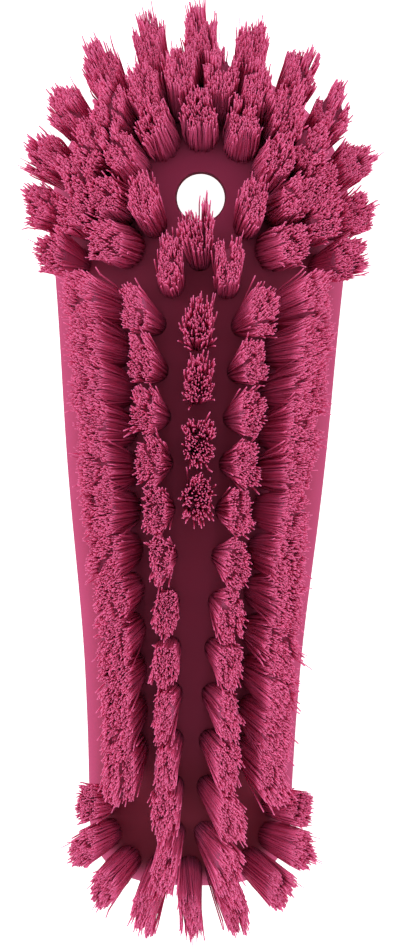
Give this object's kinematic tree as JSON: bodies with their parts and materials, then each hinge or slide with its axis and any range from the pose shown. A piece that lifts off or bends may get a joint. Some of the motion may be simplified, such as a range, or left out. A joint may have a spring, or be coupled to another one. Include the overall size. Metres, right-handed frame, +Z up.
{
  "type": "scrub brush",
  "caption": "Hand scrub brush: pear-shaped moulded block with a moulded grip and hanging hole, stiff tufts in rows that fan out round the head and tail.",
  "frame": {"origin": "on the flat pad on the crown of the grip, which the brush lies on, midway along the block", "axes": "+Z up towards the bristle tips, +Y towards the round head with the hanging hole, +X to the right of someone who looks at the bristles with the head up"},
  "size_m": [0.0968, 0.2527, 0.0608],
  "materials": {
    "block_plastic": "injection-moulded polypropylene, satin",
    "bristle": "polyester filament, cut ends lighter"
  },
  "bodies": {
    "root": {"brush_block": "block_plastic", "centre_row_tufts": "bristle", "edge_row_tufts_front_left": "bristle", "edge_row_tufts_front_right": "bristle", "edge_row_tufts_rear_left": "bristle", "edge_row_tufts_rear_right": "bristle", "head_edge_tufts_left": "bristle", "head_edge_tufts_middle": "bristle", "head_edge_tufts_right": "bristle", "head_second_tufts_left": "bristle", "head_second_tufts_middle": "bristle", "head_second_tufts_right": "bristle", "head_third_tufts_left": "bristle", "head_third_tufts_middle": "bristle", "head_third_tufts_right": "bristle", "hole_tufts_left": "bristle", "hole_tufts_right": "bristle", "inner_row_tufts_front_left": "bristle", "inner_row_tufts_front_right": "bristle", "inner_row_tufts_rear_left": "bristle", "inner_row_tufts_rear_right": "bristle", "tail_edge_tufts_left": "bristle", "tail_edge_tufts_middle": "bristle", "tail_edge_tufts_right": "bristle"}
  },
  "joints": []
}
